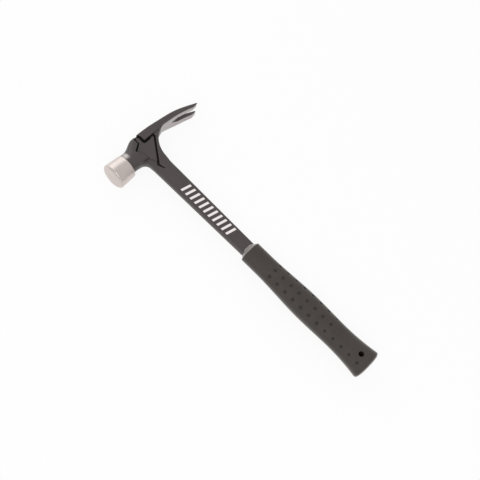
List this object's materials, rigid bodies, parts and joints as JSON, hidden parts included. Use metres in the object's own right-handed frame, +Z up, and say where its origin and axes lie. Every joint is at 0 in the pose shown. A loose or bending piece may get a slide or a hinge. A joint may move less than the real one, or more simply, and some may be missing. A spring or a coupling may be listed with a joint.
{
  "type": "claw hammer",
  "caption": "Long framing hammer, lying on its side: one-piece forged head, rip claw and shank, bright striking end, nail starter notch and a moulded grip with a hang hole.",
  "frame": {"origin": "middle of the tool's outline seen from above, on the surface that it lies on", "axes": "+X along the shank towards the head, +Y out of the striking face, +Z up, out of the upper cheek"},
  "size_m": [0.4324, 0.159, 0.0366],
  "materials": {
    "coated_steel": "semi-matte black coating on forged steel, bare ground steel under the claw",
    "polished_steel": "polished, fine turning marks",
    "magnet": "plain plated",
    "grip_rubber": "matte moulded, rows of dimples"
  },
  "bodies": {
    "root": {"forged_body": "coated_steel", "striking_cap": "polished_steel", "nail_magnet": "magnet", "grip": "grip_rubber"}
  },
  "joints": []
}
